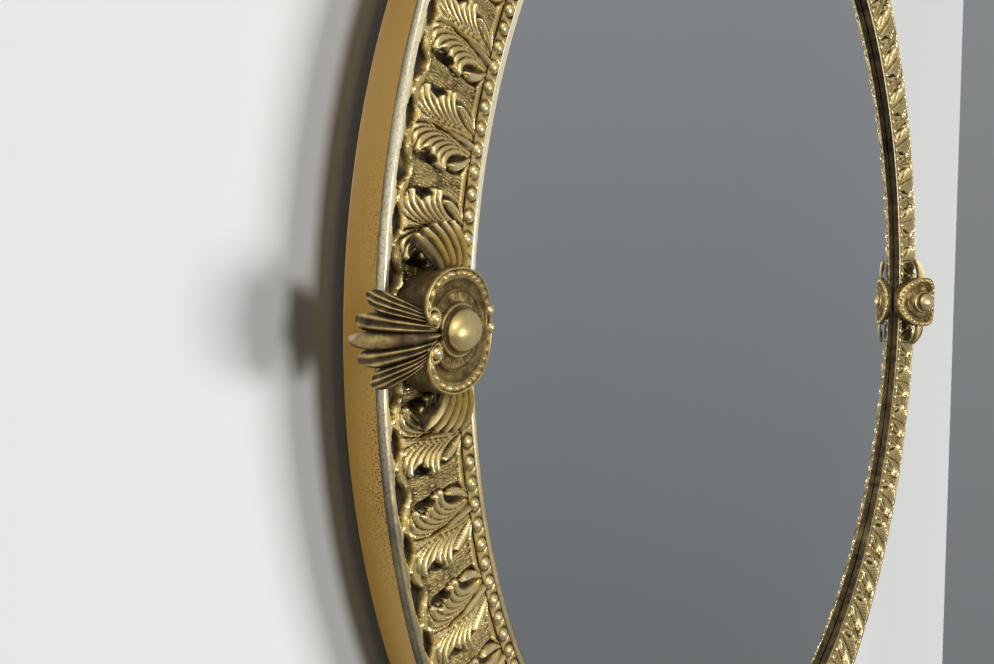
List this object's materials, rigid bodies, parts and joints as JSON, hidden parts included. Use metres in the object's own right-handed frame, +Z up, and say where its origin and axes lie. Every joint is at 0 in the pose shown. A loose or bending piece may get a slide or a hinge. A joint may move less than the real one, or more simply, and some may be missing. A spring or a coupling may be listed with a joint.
{
  "type": "convex butlers mirror",
  "caption": "Round convex wall mirror in a brass frame with a leaf border, a pearl ring, cast cartouches, a removable back and a hanging ring.",
  "frame": {"origin": "centre of the mirror on the wall plane that it hangs against", "axes": "+X right seen from the front, +Y into the wall, +Z up; the glass faces -Y"},
  "size_m": [0.5182, 0.0339, 0.5182],
  "materials": {
    "ochre_lacquer": "satin ochre lacquer",
    "patinated_brass": "polished relief with dark patina in the recesses",
    "pale_brass": "plain",
    "steel": "zinc plated",
    "mirror_glass": "silvered",
    "pine": "raw",
    "plywood": "raw",
    "felt": "matt",
    "rubber": "matt"
  },
  "bodies": {
    "frame": {"side_hoop": "ochre_lacquer", "front_band_upper_right": "patinated_brass", "front_band_upper_left": "patinated_brass", "front_band_lower_left": "patinated_brass", "front_band_lower_right": "patinated_brass", "pearl_ring": "patinated_brass", "cartouche_top": "patinated_brass", "cartouche_left": "patinated_brass", "cartouche_bottom": "patinated_brass", "cartouche_right": "patinated_brass", "cartouche_nut_1": "steel", "cartouche_nut_2": "steel", "cartouche_nut_3": "steel", "cartouche_nut_4": "steel", "cartouche_nut_5": "steel", "cartouche_nut_6": "steel", "cartouche_nut_7": "steel", "cartouche_nut_8": "steel", "mirror_glass": "mirror_glass", "wood_core": "pine", "glass_cushion": "felt", "backboard": "plywood", "turn_button_screw_1": "steel", "turn_button_screw_2": "steel", "turn_button_screw_3": "steel", "turn_button_screw_4": "steel", "hanger_strap": "pale_brass", "hanger_screw_1": "steel", "hanger_screw_2": "steel", "wall_bumper_1": "rubber", "wall_bumper_2": "rubber"},
    "turn_button_1": {"turn_button_1": "pale_brass"},
    "turn_button_2": {"turn_button_2": "pale_brass"},
    "turn_button_3": {"turn_button_3": "pale_brass"},
    "turn_button_4": {"turn_button_4": "pale_brass"},
    "hanger_ring": {"hanger_ring": "pale_brass"}
  },
  "joints": [
    {"name": "turn_button_1_turn", "type": "hinge", "parent": "frame", "child": "turn_button_1", "pos_m": [0.16956, -0.0046, 0.16956], "axis": [0, 1, 0], "range_deg": [-90, 90]},
    {"name": "turn_button_2_turn", "type": "hinge", "parent": "frame", "child": "turn_button_2", "pos_m": [-0.16956, -0.0046, 0.16956], "axis": [0, 1, 0], "range_deg": [-90, 90]},
    {"name": "turn_button_3_turn", "type": "hinge", "parent": "frame", "child": "turn_button_3", "pos_m": [-0.16956, -0.0046, -0.16956], "axis": [0, 1, 0], "range_deg": [-90, 90]},
    {"name": "turn_button_4_turn", "type": "hinge", "parent": "frame", "child": "turn_button_4", "pos_m": [0.16956, -0.0046, -0.16956], "axis": [0, 1, 0], "range_deg": [-90, 90]},
    {"name": "hanger_ring_swing", "type": "hinge", "parent": "frame", "child": "hanger_ring", "pos_m": [0, -0.0027, 0.2282], "axis": [-1, 0, 0], "range_deg": [0, 175]}
  ]
}
